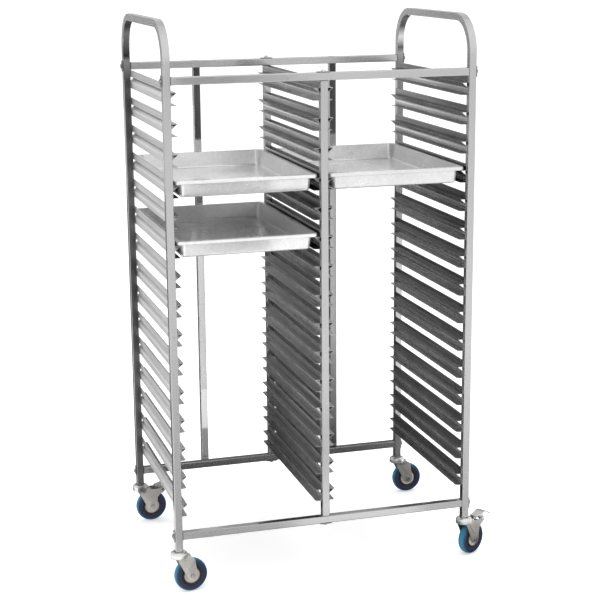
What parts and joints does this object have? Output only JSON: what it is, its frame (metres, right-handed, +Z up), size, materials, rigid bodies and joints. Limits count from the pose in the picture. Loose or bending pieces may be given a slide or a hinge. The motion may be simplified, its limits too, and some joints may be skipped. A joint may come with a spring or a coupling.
{
  "type": "tray trolley",
  "caption": "Two-bay tray trolley of bent square steel tube with runner ledges in rows, push-handle hoops, sliding aluminium trays and braked swivel casters",
  "frame": {"origin": "on the floor under the middle of the frame, halfway between the four legs", "axes": "+X right across the two bays, +Y from the front (tray side) to the rear (stop posts), +Z up"},
  "size_m": [1.0326, 0.6602, 1.654],
  "materials": {
    "frame_steel": "satin",
    "runner_steel": "satin",
    "plated_hardware": "bright zinc",
    "joint_plate": "satin",
    "inner_plug": "plain",
    "socket_plastic": "matte",
    "tray_aluminium": "satin",
    "caster_chrome": "bright",
    "caster_zinc": "zinc plated",
    "bushing_steel": "turned",
    "hub_plastic": "matte",
    "blue_rubber": "matte"
  },
  "bodies": {
    "frame": {"left_end_frame": "frame_steel", "right_end_frame": "frame_steel", "front_top_rail": "frame_steel", "rear_top_rail": "frame_steel", "front_bottom_rail": "frame_steel", "rear_bottom_rail": "frame_steel", "front_mid_post": "frame_steel", "rear_mid_post": "frame_steel", "left_rear_stop_post": "frame_steel", "right_rear_stop_post": "frame_steel", "left_frame_runners": "runner_steel", "mid_left_runners": "runner_steel", "mid_right_runners": "runner_steel", "right_frame_runners": "runner_steel", "corner_bolts": "plated_hardware", "mid_post_bolts": "plated_hardware", "stop_post_bolts": "plated_hardware", "stop_post_rivet_nuts": "plated_hardware", "corner_saddle_washers": "joint_plate", "rail_end_spacers": "joint_plate", "mid_post_washers": "joint_plate", "mid_post_spacers": "joint_plate", "rail_end_plugs": "inner_plug", "mid_post_end_plugs": "inner_plug", "leg_stem_sockets": "socket_plastic", "fl_caster_stem": "caster_chrome", "fr_caster_stem": "caster_chrome", "rl_caster_stem": "caster_chrome", "rr_caster_stem": "caster_chrome"},
    "fl_caster": {"fl_caster_fork": "caster_zinc", "fl_swivel_balls": "caster_chrome", "fl_axle_bolt": "plated_hardware", "fl_wheel_bushing": "bushing_steel"},
    "fl_wheel": {"fl_wheel_hub": "hub_plastic", "fl_tyre": "blue_rubber"},
    "fr_caster": {"fr_caster_fork": "caster_zinc", "fr_swivel_balls": "caster_chrome", "fr_axle_bolt": "plated_hardware", "fr_wheel_bushing": "bushing_steel", "fr_brake_pin": "plated_hardware"},
    "fr_wheel": {"fr_wheel_hub": "hub_plastic", "fr_tyre": "blue_rubber"},
    "fr_brake": {"fr_brake_pedal": "caster_zinc"},
    "rl_caster": {"rl_caster_fork": "caster_zinc", "rl_swivel_balls": "caster_chrome", "rl_axle_bolt": "plated_hardware", "rl_wheel_bushing": "bushing_steel", "rl_brake_pin": "plated_hardware"},
    "rl_wheel": {"rl_wheel_hub": "hub_plastic", "rl_tyre": "blue_rubber"},
    "rl_brake": {"rl_brake_pedal": "caster_zinc"},
    "rr_caster": {"rr_caster_fork": "caster_zinc", "rr_swivel_balls": "caster_chrome", "rr_axle_bolt": "plated_hardware", "rr_wheel_bushing": "bushing_steel"},
    "rr_wheel": {"rr_wheel_hub": "hub_plastic", "rr_tyre": "blue_rubber"},
    "upper_left_tray": {"upper_left_tray": "tray_aluminium"},
    "lower_left_tray": {"lower_left_tray": "tray_aluminium"},
    "right_tray": {"right_tray": "tray_aluminium"}
  },
  "joints": [
    {"name": "fl_swivel", "type": "hinge", "parent": "frame", "child": "fl_caster", "pos_m": [-0.449, -0.299, 0.112], "axis": [0, 0, 1], "continuous": true},
    {"name": "fl_roll", "type": "hinge", "parent": "fl_caster", "child": "fl_wheel", "pos_m": [-0.41434, -0.29413, 0.05], "axis": [-0.1392, 0.9903, 0], "continuous": true},
    {"name": "fr_swivel", "type": "hinge", "parent": "frame", "child": "fr_caster", "pos_m": [0.449, -0.299, 0.112], "axis": [0, 0, 1], "continuous": true},
    {"name": "fr_roll", "type": "hinge", "parent": "fr_caster", "child": "fr_wheel", "pos_m": [0.47961, -0.28203, 0.05], "axis": [-0.4848, 0.8746, 0], "continuous": true},
    {"name": "fr_brake_press", "type": "hinge", "parent": "fr_caster", "child": "fr_brake", "pos_m": [0.51022, -0.26506, 0.108], "axis": [-0.4848, 0.8746, 0], "range_deg": [0, 25]},
    {"name": "rl_swivel", "type": "hinge", "parent": "frame", "child": "rl_caster", "pos_m": [-0.449, 0.299, 0.112], "axis": [0, 0, 1], "continuous": true},
    {"name": "rl_roll", "type": "hinge", "parent": "rl_caster", "child": "rl_wheel", "pos_m": [-0.41408, 0.30144, 0.05], "axis": [-0.0698, 0.9976, 0], "continuous": true},
    {"name": "rl_brake_press", "type": "hinge", "parent": "rl_caster", "child": "rl_brake", "pos_m": [-0.37917, 0.30388, 0.108], "axis": [-0.0698, 0.9976, 0], "range_deg": [0, 25]},
    {"name": "rr_swivel", "type": "hinge", "parent": "frame", "child": "rr_caster", "pos_m": [0.449, 0.299, 0.112], "axis": [0, 0, 1], "continuous": true},
    {"name": "rr_roll", "type": "hinge", "parent": "rr_caster", "child": "rr_wheel", "pos_m": [0.484, 0.299, 0.05], "axis": [0, 1, 0], "continuous": true},
    {"name": "upper_left_tray_slide", "type": "slide", "parent": "frame", "child": "upper_left_tray", "axis": [0, -1, 0], "range_m": [-0.0095, 0.65]},
    {"name": "lower_left_tray_slide", "type": "slide", "parent": "frame", "child": "lower_left_tray", "axis": [0, -1, 0], "range_m": [-0.0095, 0.65]},
    {"name": "right_tray_slide", "type": "slide", "parent": "frame", "child": "right_tray", "axis": [0, -1, 0], "range_m": [-0.0095, 0.65]}
  ]
}
